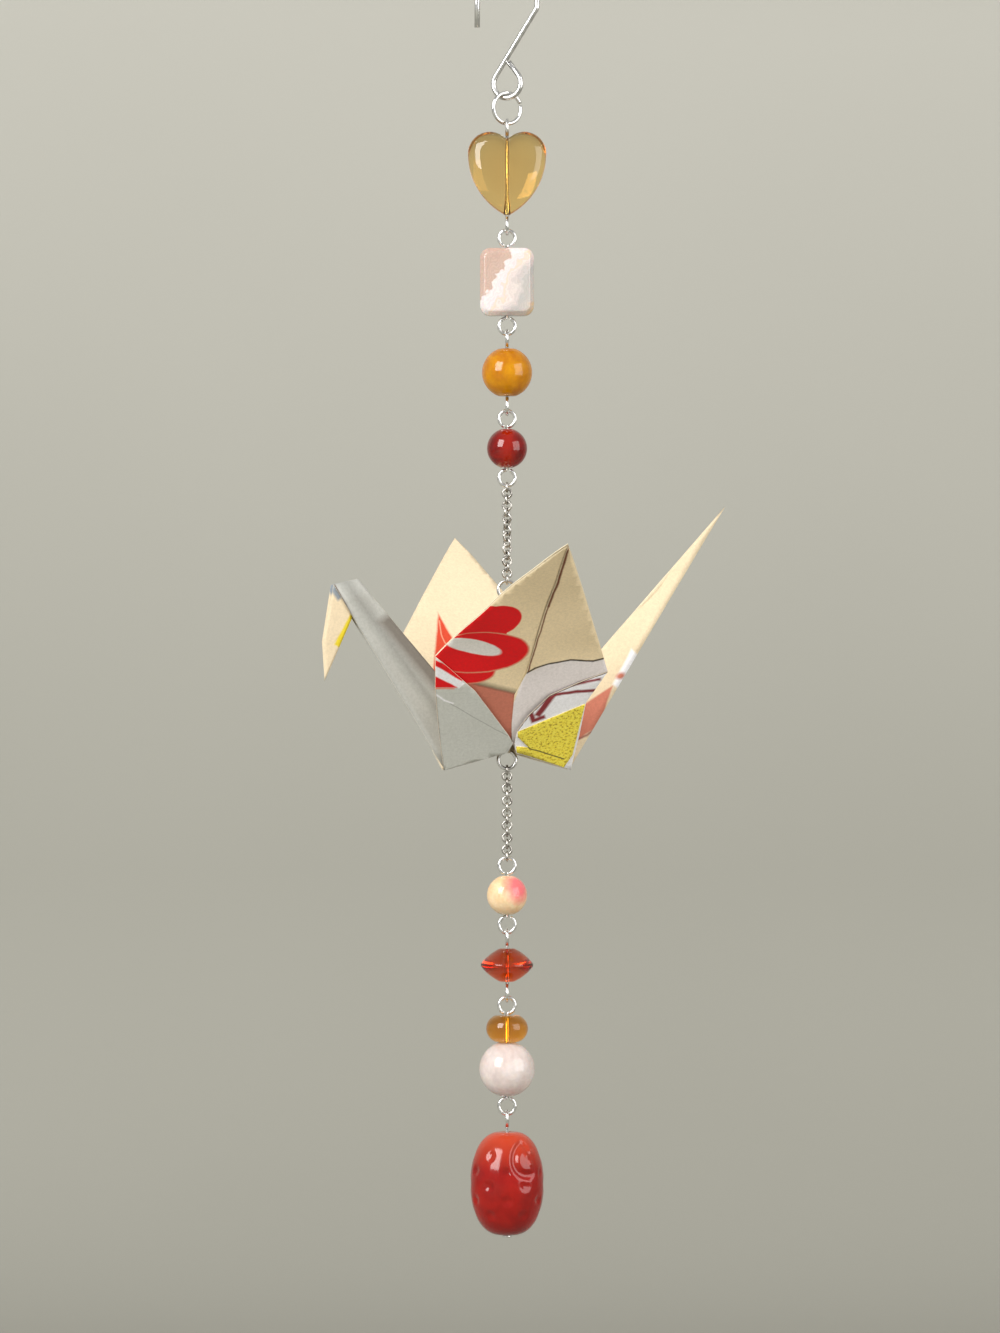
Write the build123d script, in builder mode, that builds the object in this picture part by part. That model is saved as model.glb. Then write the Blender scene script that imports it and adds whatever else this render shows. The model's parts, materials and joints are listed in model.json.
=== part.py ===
from build123d import *
import os
from math import atan2, cos, pi, radians, sin, sqrt, tan

os.makedirs("parts", exist_ok=True)

# A hanging ornament: an S-hook, a jump ring, beads on wire eye pins, two fine chains and a
# folded paper crane. Millimetres. The origin is where the hook bears on whatever carries it,
# the strand hangs straight down along -Z, and the crane's neck points towards -X.

# Wire thicknesses
hook_wire = 1.1
ring_wire = 0.8
pin_wire = 0.7
crane_pin_wire = 0.7
link_wire = 0.48

# Outside diameters of rings, pin loops and chain links
ring_outer = 6.9
loop_outer = 3.9
crane_loop_outer = 4.2
link_outer = 2.2
loop_sweep = 338
ring_sweep = 352

# Play: wire on wire, ring on hook, bore on wire, bead on loop
link_play = 0.02
ring_play = 0.06
bore_play = 0.09
seat_play = 0.05

# S-hook, on the centre line of its wire
hook_turn = -20
hook_radius = 6.3
hook_tip_length = 5.0
hook_side_length = 1.2
hook_bend_radius = 1.5
hook_slope = 56.6
hook_loop_radius = 2.85
hook_loop_arc = 251
hook_end_length = 3.1

ring_turn = 28

# Beads: diameter or width, height along the bore, flat at the bore mouth
heart_width = 15.5
heart_lobe_radius = 4.35
heart_length = 15.0
heart_point_radius = 0.8
heart_notch_radius = 0.5
heart_thickness = 7.0
heart_rounding = 2.4
heart_neck = 0.5
agate_width = 10.7
agate_height = 13.4
agate_thickness = 5.0
agate_corner = 2.0
agate_bevel = 0.9
yellow_diameter = 10.0
yellow_height = 9.4
red_diameter = 8.0
red_height = 7.7
peach_diameter = 8.0
peach_height = 7.7
lentil_diameter = 10.4
lentil_height = 6.5
lentil_flat = 1.5
lentil_rim = 0.5
lentil_crown_in = 0.2
lentil_crown_up = 0.26
lentil_neck = 0.25
rondelle_diameter = 8.3
rondelle_height = 5.2
rondelle_flat = 2.3
white_diameter = 11.0
white_height = 10.7
carved_diameter = 14.6
carved_height = 20.4
carved_flat = 1.5
carved_neck = 0.6
carved_shoulder = 0.66
carved_waist = 0.62
carved_dimples = 5
carved_row_gap = 0.2
carved_row_sink = 1.4
carved_dimple = 1.3
carved_dimple_depth = 0.35
pin_head_diameter = 1.8
pin_head_height = 0.5

upper_links = 16
lower_links = 15
crane_shank = 29.5

# Folded crane: the square sheet, its thickness and its pose
paper_side = 127.0
paper_thickness = 0.15
paper_seam = 0.3
crane_turn = 13
page_gap = 0.5
page_tilt = 41
wing_tilt = 54
far_wing_tilt = 48
fold_share = 0.949
apex_height = 22.4
gusset_reach = 8.8
gusset_height = 12.8
foot_reach = 1.3
foot_height = 3.5
neck_slope = 57.2
neck_length = 43.0
head_crease_run = 5.1
head_crease_rise = 1.25
head_lean = 3.7
tail_slope = 57.8
side_bow = 1.3
crane_bore_play = 0.12


def ring_plane(height, turn):
    """An upright plane through the strand's axis, turned about it, with its y axis up."""
    angle = radians(turn)
    return Plane(
        origin=(0, 0, height),
        x_dir=(cos(angle), sin(angle), 0),
        z_dir=(sin(angle), -cos(angle), 0),
    )


def hang(centre, outer, wire, next_outer, next_wire, play):
    """Height of the centre of the ring that hangs in the ring at this height."""
    return centre - (outer / 2 - wire) - (next_outer / 2 - next_wire) + play


# ---- S-hook: one bent wire, open above and closed to a teardrop below
slope = radians(hook_slope)
with BuildPart() as s_hook:
    with BuildLine(ring_plane(0, hook_turn)) as hook_path:
        bend_centre = hook_wire / 2 - hook_radius
        tip = Line((-hook_radius, bend_centre - hook_tip_length), (-hook_radius, bend_centre))
        crown = JernArc(tip @ 1, (0, 1), hook_radius, -180)
        side_end = (hook_radius, bend_centre - hook_side_length)
        side = Line((hook_radius, bend_centre), side_end)
        bend = JernArc(side_end, (0, -1), hook_bend_radius, hook_slope - 90)
        bend_end = (
            hook_radius - hook_bend_radius * (1 - sin(slope)),
            side_end[1] - hook_bend_radius * cos(slope),
        )
        diagonal_run = bend_end[0] + hook_loop_radius * sin(slope)
        loop_start = (bend_end[0] - diagonal_run, bend_end[1] - diagonal_run * tan(slope))
        diagonal = Line(bend_end, loop_start)
        loop = JernArc(loop_start, (-cos(slope), -sin(slope)), hook_loop_radius, hook_loop_arc)
        closing_angle = radians(hook_slope + 180 + hook_loop_arc)
        loop_centre = loop_start[1] - hook_loop_radius * cos(slope)
        loop_end = (
            hook_loop_radius * sin(closing_angle),
            loop_centre - hook_loop_radius * cos(closing_angle),
        )
        closing = Line(
            loop_end,
            (
                loop_end[0] + hook_end_length * cos(closing_angle),
                loop_end[1] + hook_end_length * sin(closing_angle),
            ),
        )
    with BuildSketch(Plane(origin=hook_path.line @ 0, z_dir=(0, 0, 1))):
        Circle(hook_wire / 2)
    sweep()
s_hook.part.label = "s_hook"
export_step(s_hook.part, "parts/s_hook.step")

# ---- Jump ring: one open turn of wire
hook_bottom = loop_centre - hook_loop_radius + hook_wire / 2
ring_centre = hook_bottom - ring_outer / 2 + ring_wire + ring_play
with BuildPart(ring_plane(ring_centre, ring_turn)) as jump_ring:
    Torus(
        (ring_outer - ring_wire) / 2,
        ring_wire / 2,
        major_angle=ring_sweep,
        rotation=(0, 0, 20),
    )
jump_ring.part.label = "jump_ring"
export_step(jump_ring.part, "parts/jump_ring.step")


def eye_pin(name, top, length, turn, outer, wire):
    """Two loops in one plane on a straight shank, the lower one's centre at top - length."""
    radius = (outer - wire) / 2
    with BuildPart(ring_plane(top, turn)) as pin:
        Torus(radius, wire / 2, major_angle=loop_sweep, rotation=(0, 0, -90))
        with Locations((0, -length)):
            Torus(radius, wire / 2, major_angle=loop_sweep, rotation=(0, 0, 90))
        with Locations((0, -length / 2)):
            Cylinder(wire / 2, length - 2 * radius, rotation=(90, 0, 0))
    pin.part.label = name
    export_step(pin.part, f"parts/{name}.step")


def round_bead(name, centre, diameter, height, flat=None):
    """A turned bead with a bore for the pin wire and a flat at each bore mouth."""
    mouth = flat or sqrt(diameter**2 - height**2) / 2
    bore = pin_wire / 2 + bore_play
    with BuildPart() as bead:
        with BuildSketch(ring_plane(centre, 0)):
            with BuildLine():
                ThreePointArc((mouth, height / 2), (diameter / 2, 0), (mouth, -height / 2))
                Polyline(
                    (mouth, -height / 2), (bore, -height / 2), (bore, height / 2), (mouth, height / 2)
                )
            make_face()
        revolve(axis=Axis.Z)
    bead.part.label = name
    export_step(bead.part, f"parts/{name}.step")


def pin_length(bead_height, neck=0.0):
    """Distance between loop centres on a pin that carries this height of beads."""
    return loop_outer + bead_height + 2 * seat_play + neck


# ---- Heart bead: a puffed heart, bored from its notch to its point. Its outline is two round
# lobes, and full sides that run on from them to the point, which is softened, as the notch is.
lobe_x = heart_width / 2 - heart_lobe_radius
lobe_y = heart_length - sqrt(heart_lobe_radius**2 - lobe_x**2)
side_radius = ((heart_width / 2) ** 2 + lobe_y**2) / heart_width
side_centre = heart_width / 2 - side_radius
side_angle = atan2(-side_centre, lobe_y)
side_middle = (pi / 2 - side_angle) / 2
side_point = (
    side_centre + side_radius * cos(side_middle),
    lobe_y - side_radius * sin(side_middle),
)
point_loss = heart_point_radius * (1 / cos(side_angle) - 1)

heart_top = hang(ring_centre, ring_outer, ring_wire, loop_outer, pin_wire, link_play)
heart_pin_length = pin_length(heart_length - point_loss, heart_neck)
heart_point = heart_top - heart_pin_length + loop_outer / 2 + seat_play - point_loss
eye_pin("heart_eye_pin", heart_top, heart_pin_length, 90, loop_outer, pin_wire)
with BuildPart() as heart_bead:
    with BuildSketch(ring_plane(heart_point, 0)) as heart_outline:
        with Locations((lobe_x, lobe_y), (-lobe_x, lobe_y)):
            Circle(heart_lobe_radius)
        with BuildLine():
            Line((-heart_width / 2, lobe_y), (heart_width / 2, lobe_y))
            ThreePointArc((heart_width / 2, lobe_y), side_point, (0, 0))
            ThreePointArc((0, 0), (-side_point[0], side_point[1]), (-heart_width / 2, lobe_y))
        make_face()
        middle = heart_outline.vertices().filter_by_position(Axis.X, -seat_play, seat_play)
        fillet(middle.sort_by(Axis.Y)[-1], heart_notch_radius)
        fillet(heart_outline.vertices().sort_by(Axis.Y)[0], heart_point_radius)
    extrude(amount=heart_thickness / 2, both=True)
    fillet(heart_bead.faces().filter_by(Axis.Y).edges(), heart_rounding)
    with Locations((0, 0, heart_point + heart_length / 2)):
        Cylinder(pin_wire / 2 + bore_play, 2 * heart_length, mode=Mode.SUBTRACT)
heart_bead.part.label = "heart_bead"
export_step(heart_bead.part, "parts/heart_bead.step")

# ---- Agate bead: a bevelled tablet bored along its height
agate_top = hang(heart_top - heart_pin_length, loop_outer, pin_wire, loop_outer, pin_wire, link_play)
agate_length = pin_length(agate_height)
agate_centre = agate_top - agate_length / 2
eye_pin("agate_eye_pin", agate_top, agate_length, 0, loop_outer, pin_wire)
with BuildPart() as agate_bead:
    with BuildSketch(ring_plane(agate_centre, 0)):
        RectangleRounded(agate_width, agate_height, agate_corner)
    extrude(amount=agate_thickness / 2, both=True)
    chamfer(agate_bead.faces().filter_by(Axis.Y).edges(), agate_bevel)
    with Locations((0, 0, agate_centre)):
        Cylinder(pin_wire / 2 + bore_play, 2 * agate_height, mode=Mode.SUBTRACT)
agate_bead.part.label = "agate_bead"
export_step(agate_bead.part, "parts/agate_bead.step")

# ---- Yellow and red beads
yellow_top = hang(agate_top - agate_length, loop_outer, pin_wire, loop_outer, pin_wire, link_play)
yellow_length = pin_length(yellow_height)
eye_pin("yellow_eye_pin", yellow_top, yellow_length, 90, loop_outer, pin_wire)
round_bead("yellow_bead", yellow_top - yellow_length / 2, yellow_diameter, yellow_height)

red_top = hang(yellow_top - yellow_length, loop_outer, pin_wire, loop_outer, pin_wire, link_play)
red_length = pin_length(red_height)
eye_pin("red_eye_pin", red_top, red_length, 0, loop_outer, pin_wire)
round_bead("red_bead", red_top - red_length / 2, red_diameter, red_height)

# ---- Chains: closed round links, each at a right angle to the one above it
link_pitch = link_outer - 2 * link_wire - link_play


def chain(name, first, count):
    """Round links down from the first one's centre. Each is turned on by about a right angle, so
    that the loops above and below the chain both lie square to their links."""
    quarter_turns = 2 * ((count + 1) // 2)
    for number in range(count):
        turn = 90 * quarter_turns * (number + 1) / (count + 1)
        with BuildPart(ring_plane(first - number * link_pitch, turn)) as link:
            Torus((link_outer - link_wire) / 2, link_wire / 2)
        link_name = f"{name}_chain_link_{number + 1:02d}"
        link.part.label = link_name
        export_step(link.part, f"parts/{link_name}.step")


upper_chain_top = hang(red_top - red_length, loop_outer, pin_wire, link_outer, link_wire, link_play)
upper_chain_end = upper_chain_top - (upper_links - 1) * link_pitch
chain("upper", upper_chain_top, upper_links)

# ---- Eye pin of the crane, and the lower chain under it
crane_top = hang(upper_chain_end, link_outer, link_wire, crane_loop_outer, crane_pin_wire, link_play)
crane_length = crane_shank + crane_loop_outer
crane_loop = crane_top - crane_length
eye_pin("crane_eye_pin", crane_top, crane_length, 0, crane_loop_outer, crane_pin_wire)

lower_chain_top = hang(crane_loop, crane_loop_outer, crane_pin_wire, link_outer, link_wire, link_play)
lower_chain_end = lower_chain_top - (lower_links - 1) * link_pitch
chain("lower", lower_chain_top, lower_links)

# ---- Beads under the lower chain
peach_top = hang(lower_chain_end, link_outer, link_wire, loop_outer, pin_wire, link_play)
peach_length = pin_length(peach_height)
eye_pin("peach_eye_pin", peach_top, peach_length, 0, loop_outer, pin_wire)
round_bead("peach_bead", peach_top - peach_length / 2, peach_diameter, peach_height)

lentil_top = hang(peach_top - peach_length, loop_outer, pin_wire, loop_outer, pin_wire, link_play)
lentil_length = pin_length(lentil_height, 2 * lentil_neck)
lentil_centre = lentil_top - lentil_length / 2
eye_pin("lentil_eye_pin", lentil_top, lentil_length, 90, loop_outer, pin_wire)
with BuildPart() as lentil_bead:
    with BuildSketch(ring_plane(lentil_centre, 0)):
        with BuildLine():
            rim = (lentil_diameter / 2, lentil_rim / 2)
            crown_mid = (
                (lentil_flat + lentil_diameter) / 2 - lentil_crown_in * lentil_diameter,
                lentil_crown_up * lentil_height,
            )
            ThreePointArc((lentil_flat, lentil_height / 2), crown_mid, rim)
            Polyline(
                rim, (rim[0], 0), (pin_wire / 2 + bore_play, 0),
                (pin_wire / 2 + bore_play, lentil_height / 2), (lentil_flat, lentil_height / 2),
            )
        make_face()
    revolve(axis=Axis.Z)
    mirror(about=Plane.XY.offset(lentil_centre))
lentil_bead.part.label = "lentil_bead"
export_step(lentil_bead.part, "parts/lentil_bead.step")

white_top = hang(lentil_top - lentil_length, loop_outer, pin_wire, loop_outer, pin_wire, link_play)
white_length = pin_length(rondelle_height + seat_play + white_height)
white_centre = white_top - white_length + loop_outer / 2 + seat_play + white_height / 2
rondelle_centre = white_centre + white_height / 2 + seat_play + rondelle_height / 2
eye_pin("white_eye_pin", white_top, white_length, 0, loop_outer, pin_wire)
round_bead("white_bead", white_centre, white_diameter, white_height)
round_bead("amber_rondelle", rondelle_centre, rondelle_diameter, rondelle_height, rondelle_flat)

# ---- Carved bead: an oval barrel with rows of shallow dimples, on a head pin
carved_top = hang(white_top - white_length, loop_outer, pin_wire, loop_outer, pin_wire, link_play)
carved_centre = carved_top - loop_outer / 2 - seat_play - carved_neck - carved_height / 2
carved_bottom = carved_centre - carved_height / 2
with BuildPart() as carved_bead:
    with BuildSketch(ring_plane(carved_centre, 0)):
        with BuildLine():
            half = carved_height / 2
            radius = carved_diameter / 2
            shoulder = (carved_shoulder * radius, half)
            Bezier((carved_flat, half), shoulder, (radius, carved_waist * half), (radius, 0))
            Polyline(
                (radius, 0), (pin_wire / 2 + bore_play, 0),
                (pin_wire / 2 + bore_play, half), (carved_flat, half),
            )
        make_face()
    revolve(axis=Axis.Z)
    mirror(about=Plane.XY.offset(carved_centre))
    dimple_reach = radius + carved_dimple - carved_dimple_depth
    for row in (-1, 0, 1):
        row_reach = dimple_reach - abs(row) * carved_row_sink * carved_dimple_depth
        row_turn = row * 180 / carved_dimples - 90
        with Locations((0, 0, carved_centre + row * carved_row_gap * carved_height)):
            with PolarLocations(row_reach, carved_dimples, row_turn):
                Sphere(carved_dimple, mode=Mode.SUBTRACT)
carved_bead.part.label = "carved_bead"
export_step(carved_bead.part, "parts/carved_bead.step")

pin_end = carved_bottom - seat_play
loop_radius = (loop_outer - pin_wire) / 2
with BuildPart(ring_plane(carved_top, 90)) as carved_head_pin:
    Torus(loop_radius, pin_wire / 2, major_angle=loop_sweep, rotation=(0, 0, -90))
    shank_length = carved_top - loop_radius - pin_end
    with Locations((0, -loop_radius - shank_length / 2)):
        Cylinder(pin_wire / 2, shank_length, rotation=(90, 0, 0))
    with Locations((0, pin_end - pin_head_height / 2 - carved_top)):
        Cylinder(pin_head_diameter / 2, pin_head_height, rotation=(90, 0, 0))
carved_head_pin.part.label = "carved_head_pin"
export_step(carved_head_pin.part, "parts/carved_head_pin.step")

# ---- Paper crane: one square sheet, folded. Every panel is a thin plate, and panels that
# lie on each other are pressed together, so a raw edge stands as a step of one thickness.
# Points are in the crane's own frame: x towards the tail, y to the far wing, z up from the
# line through the feet of the neck and the tail.
unit = paper_side / 2
narrow = tan(pi / 16)
kite = tan(pi / 8)
tip_y = 2 * unit
corner_y = 2 * kite * unit / (kite + narrow)
flap_y = unit / cos(pi / 8)
ridge_y = sqrt(2) * unit / (1 + narrow)
foot_y = fold_share * unit
foot_x = narrow * foot_y
leg_length = foot_y / cos(pi / 16)
low_tilt = radians(page_tilt)


def page_point(x, y, high_tilt=radians(wing_tilt)):
    """A point of the near page from its place on the flat fold: tilted out, more so above the
    page's widest corners."""
    low = min(y, corner_y) - foot_y
    high = max(y - corner_y, 0)
    out = low * sin(low_tilt) + high * sin(high_tilt)
    return (x, -page_gap - out, low * cos(low_tilt) + high * cos(high_tilt))


def on_slope(foot, length, degrees_up, direction):
    """A point of the crane's middle plane, this far up a slope from a foot of the body."""
    angle = radians(degrees_up)
    return (direction * (foot + length * cos(angle)), length * sin(angle))


foot = page_point(foot_x, foot_y)
seam = paper_seam / 2
seam_hinge = page_point(seam, unit)
seam_bend = page_point(seam, corner_y)
seam_top = tip_y - 2 * seam / kite
seam_tip = page_point(seam, seam_top)
corner = page_point(corner_y * narrow, corner_y)
flap_tip = page_point(seam, flap_y)
wing_tip = page_point(0, tip_y)
hinge = page_point(0, unit)
ridge = page_point(ridge_y * narrow, ridge_y)
apex = (0, 0, apex_height)
gusset = (gusset_reach, 0, gusset_height)
seat = (foot_reach, 0, foot_height)


def other_side(point):
    return (-point[0], point[1], point[2])


# Near half of the body: corners, distance of the plate from the page's inner face, thickness
one = paper_thickness
near_panels = [
    ([hinge, foot, corner, other_side(corner), other_side(foot)], 0, one),
    ([corner, wing_tip, other_side(corner)], 0, one),
    ([apex, ridge, other_side(ridge)], -one / 2, one),
]
for side in (lambda point: point, other_side):
    near_panels += [
        ([side(p) for p in (seam_hinge, foot, corner, seam_bend)], one, one),
        ([side(p) for p in (seam_bend, corner, seam_tip)], one, one),
        ([side(p) for p in (seam_hinge, foot, corner, flap_tip)], 2 * one, 2 * one),
        ([side(p) for p in (apex, ridge, gusset)], -one / 2, one),
        ([side(p) for p in (ridge, seat, gusset)], -one / 2, one),
        ([side(p) for p in (ridge, foot, seat)], -one / 2, one),
    ]

# Near sides of the neck, the head and the tail, each open below and joined along its top
bend_x, bend_z = on_slope(foot_x, neck_length, neck_slope, -1)
neck_bend = (bend_x, -side_bow, bend_z)
neck_spine = (bend_x + head_crease_run, 0, bend_z + head_crease_rise)
head_length = leg_length - neck_length
lean = radians(head_lean)
head_tip = (bend_x - head_length * sin(lean), 0, bend_z - head_length * cos(lean))
tail_x, tail_z = on_slope(foot_x, leg_length, tail_slope, 1)
mid_x, mid_z = on_slope(foot_x, leg_length / 2, tail_slope, 1)
tail_tip = (tail_x, 0, tail_z)
tail_middle = (mid_x, -side_bow, mid_z)
neck_foot = other_side(foot)
neck_seat = other_side(seat)
near_panels += [
    ([neck_foot, neck_bend, neck_seat], -one, 2 * one),
    ([neck_bend, neck_spine, neck_seat], -one, 2 * one),
    ([neck_bend, neck_spine, head_tip], -one, 2 * one),
    ([foot, tail_middle, seat], -one, 2 * one),
    ([tail_middle, tail_tip, seat], -one, 2 * one),
]

crane_base = crane_loop + sqrt((crane_loop_outer / 2 + one + seat_play) ** 2 - foot_reach**2)
turn = radians(crane_turn)
crane_frame = Plane(
    origin=(0, 0, crane_base - foot_height), x_dir=(cos(turn), sin(turn), 0), z_dir=(0, 0, 1)
)


def panel_plane(corners):
    """The plane of a panel, in the model's frame, facing away from the crane's middle."""
    first, second, third = (Vector(*point) for point in corners[:3])
    normal = (second - first).cross(third - first)
    if normal.Y > 0:
        normal = -normal
    start = crane_frame.from_local_coords(first)
    x_dir = crane_frame.from_local_coords(second) - start
    z_dir = crane_frame.from_local_coords(first + normal) - start
    return Plane(origin=start, x_dir=x_dir, z_dir=z_dir)


def flat_corners(plane, corners):
    local = [plane.to_local_coords(crane_frame.from_local_coords(Vector(*p))) for p in corners]
    return [(point.X, point.Y) for point in local]


def crane_half(panels):
    """The plates of one half of the crane, as seen from the near side."""
    with BuildPart() as half:
        for corners, start, thickness in panels:
            plane = panel_plane(corners)
            with BuildSketch(plane.offset(start)):
                Polygon(*flat_corners(plane, corners), align=None)
            extrude(amount=thickness)
    return half.part


# The far wing stands a little steeper than the near one
far_tilt = radians(far_wing_tilt)
far_seam_tip = page_point(seam, seam_top, far_tilt)
far_points = {
    wing_tip: page_point(0, tip_y, far_tilt),
    seam_tip: far_seam_tip,
    other_side(seam_tip): other_side(far_seam_tip),
}
far_panels = [([far_points.get(p, p) for p in corners], start, t) for corners, start, t in near_panels]
middle_plane = Plane(crane_frame.origin, x_dir=(0, 0, 1), z_dir=crane_frame.y_dir)

with BuildPart() as paper_crane:
    add(crane_half(near_panels))
    add(mirror(crane_half(far_panels), about=middle_plane))
    with Locations((0, 0, crane_base - foot_height + apex_height)):
        Cylinder(crane_pin_wire / 2 + crane_bore_play, crane_loop_outer, mode=Mode.SUBTRACT)
paper_crane.part.label = "paper_crane"
export_step(paper_crane.part, "parts/paper_crane.step")
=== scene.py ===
import json
from math import cos, pi, radians, sin
import bpy
import bmesh
from mathutils import Matrix, Vector, noise
from mathutils.geometry import interpolate_bezier


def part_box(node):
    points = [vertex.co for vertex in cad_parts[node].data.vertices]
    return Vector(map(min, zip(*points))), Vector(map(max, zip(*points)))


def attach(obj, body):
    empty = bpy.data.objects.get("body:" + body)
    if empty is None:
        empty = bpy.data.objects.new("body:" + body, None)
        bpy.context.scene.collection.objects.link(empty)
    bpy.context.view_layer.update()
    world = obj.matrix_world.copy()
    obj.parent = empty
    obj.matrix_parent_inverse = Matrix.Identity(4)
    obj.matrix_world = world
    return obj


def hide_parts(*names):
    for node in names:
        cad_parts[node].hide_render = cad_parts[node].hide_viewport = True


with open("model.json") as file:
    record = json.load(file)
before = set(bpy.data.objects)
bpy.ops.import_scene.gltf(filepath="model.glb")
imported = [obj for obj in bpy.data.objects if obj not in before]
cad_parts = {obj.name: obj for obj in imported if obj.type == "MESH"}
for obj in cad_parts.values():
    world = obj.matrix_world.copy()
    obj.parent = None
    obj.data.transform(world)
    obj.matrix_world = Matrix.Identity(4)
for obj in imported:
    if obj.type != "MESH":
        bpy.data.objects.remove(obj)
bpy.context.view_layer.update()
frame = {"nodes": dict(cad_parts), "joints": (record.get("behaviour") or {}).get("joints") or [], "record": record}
mm = 0.001
nodes = frame["nodes"]
joints = {joint["child"]: joint for joint in frame["joints"]}
bodyOf = {}
for body, held in frame["record"]["behaviour"]["bodies"].items():
    for node in held:
        bodyOf[node] = body


# A screen colour, 0 to 255, as the linear colour that a shader takes
def screenColour(red, green, blue):
    linear = []
    for value in (red / 255, green / 255, blue / 255):
        linear.append(value / 12.92 if value <= 0.04045 else ((value + 0.055) / 1.055) ** 2.4)
    return (*linear, 1.0)


def newMaterial(name, **sockets):
    material = bpy.data.materials.new(name)
    material.use_nodes = True
    for socket, value in sockets.items():
        shader(material).inputs[socket.replace("_", " ")].default_value = value
    return material


def shader(material):
    return material.node_tree.nodes["Principled BSDF"]


def plug(material, socket, value):
    if isinstance(value, bpy.types.NodeSocket):
        material.node_tree.links.new(value, socket)
    else:
        socket.default_value = value


def addNode(material, kind, inputs=None, output=0, **settings):
    node = material.node_tree.nodes.new(kind)
    for key, value in settings.items():
        setattr(node, key, value)
    for socket, value in (inputs or {}).items():
        plug(material, node.inputs[socket], value)
    return node.outputs[output]


def objectPlace(material, scale=(1, 1, 1), turn=(0, 0, 0), shift=(0, 0, 0)):
    place = addNode(material, "ShaderNodeTexCoord", output=3)
    inputs = {"Vector": place, "Location": shift, "Rotation": turn, "Scale": scale}
    return addNode(material, "ShaderNodeMapping", inputs)


# Object coordinates with their zero moved to the middle of a CAD node
def nodePlace(material, node, scale=(1, 1, 1), turn=(0, 0, 0)):
    low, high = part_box(node)
    place = addNode(material, "ShaderNodeTexCoord", output=3)
    inputs = {0: place, 1: (low + high) / 2}
    centred = addNode(material, "ShaderNodeVectorMath", inputs, operation="SUBTRACT")
    inputs = {"Vector": centred, "Rotation": turn, "Scale": scale}
    return addNode(material, "ShaderNodeMapping", inputs)


def cloudNoise(material, place, scale, detail=3.0, roughness=0.5, distortion=0.0, output=0):
    inputs = {
        "Vector": place, "Scale": scale, "Detail": detail,
        "Roughness": roughness, "Distortion": distortion,
    }
    return addNode(material, "ShaderNodeTexNoise", inputs, output)


def spread(material, value, low, high, newLow=0.0, newHigh=1.0):
    inputs = {
        "Value": value, "From Min": low, "From Max": high, "To Min": newLow, "To Max": newHigh,
    }
    return addNode(material, "ShaderNodeMapRange", inputs)


def ramp(material, value, stops):
    node = material.node_tree.nodes.new("ShaderNodeValToRGB")
    while len(node.color_ramp.elements) < len(stops):
        node.color_ramp.elements.new(0.5)
    for element, (position, colour) in zip(node.color_ramp.elements, stops):
        element.position = position
        element.color = colour
    plug(material, node.inputs["Fac"], value)
    return node.outputs["Color"]


def mixColour(material, share, first, second, blend="MIX"):
    node = material.node_tree.nodes.new("ShaderNodeMix")
    node.data_type = "RGBA"
    node.blend_type = blend
    for index, value in ((0, share), (6, first), (7, second)):
        plug(material, node.inputs[index], value)
    return node.outputs[2]


def sums(material, operation, first, second=0.0):
    return addNode(material, "ShaderNodeMath", {0: first, 1: second}, operation=operation)


def bump(material, height, strength, distance):
    inputs = {"Height": height, "Strength": strength, "Distance": distance}
    normal = addNode(material, "ShaderNodeBump", inputs)
    plug(material, shader(material).inputs["Normal"], normal)
    return normal


# A bmesh becomes a piece that rides on a body and stands for its CAD node
def makePiece(name, bm, materials, node, smooth=True):
    bmesh.ops.recalc_face_normals(bm, faces=bm.faces)
    mesh = bpy.data.meshes.new(name)
    bm.to_mesh(mesh)
    bm.free()
    for material in materials:
        mesh.materials.append(material)
    if smooth:
        mesh.shade_smooth()
    piece = bpy.data.objects.new(name, mesh)
    bpy.context.scene.collection.objects.link(piece)
    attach(piece, bodyOf[node])
    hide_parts(node)
    return piece


def bakeModifiers(piece):
    graph = bpy.context.evaluated_depsgraph_get()
    finished = bpy.data.meshes.new_from_object(piece.evaluated_get(graph))
    rough = piece.data
    piece.modifiers.clear()
    piece.data = finished
    bpy.data.meshes.remove(rough)


# Metals

def wireMetal(name, tint, shade, roughness):
    material = newMaterial(name, Metallic=1.0, IOR=1.5)
    cloud = cloudNoise(material, objectPlace(material), 700.0, 4.0, 0.6)
    colour = ramp(material, cloud, [(0.3, shade), (0.6, tint)])
    plug(material, shader(material).inputs["Base Color"], colour)
    rough = spread(material, cloud, 0.2, 0.8, roughness * 0.7, roughness * 1.5)
    plug(material, shader(material).inputs["Roughness"], rough)
    drawn = cloudNoise(material, objectPlace(material, (1, 1, 0.2)), 9000.0, 2.0)
    bump(material, drawn, 0.1, 0.02 * mm)
    return material


metals = {
    "hook": wireMetal("hook_wire_plating", (0.83, 0.83, 0.82, 1), (0.55, 0.55, 0.54, 1), 0.17),
    "pin": wireMetal("pin_wire_plating", (0.90, 0.90, 0.89, 1), (0.66, 0.66, 0.65, 1), 0.16),
    "chain": wireMetal("chain_wire_plating", (0.62, 0.60, 0.56, 1), (0.24, 0.22, 0.20, 1), 0.24),
    "crane": wireMetal("crane_pin_plating", (0.80, 0.79, 0.77, 1), (0.45, 0.44, 0.42, 1), 0.18),
}

# Wire work: each ring is a spun wire section about its own joint

wire = {
    "hook": 1.1 * mm,
    "ring": 0.8 * mm,
    "pin": 0.7 * mm,
    "link": 0.48 * mm,
    "loopSweep": radians(338),
    "ringSweep": radians(352),
    "ringStart": radians(110),
    "headWidth": 1.8 * mm,
    "headHeight": 0.5 * mm,
    "sides": 16,
    "linkSides": 12,
}
down = Vector((0, 0, -1))
across = Vector((1, 0, 0))
front = Vector((0, -1, 0))


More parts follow.
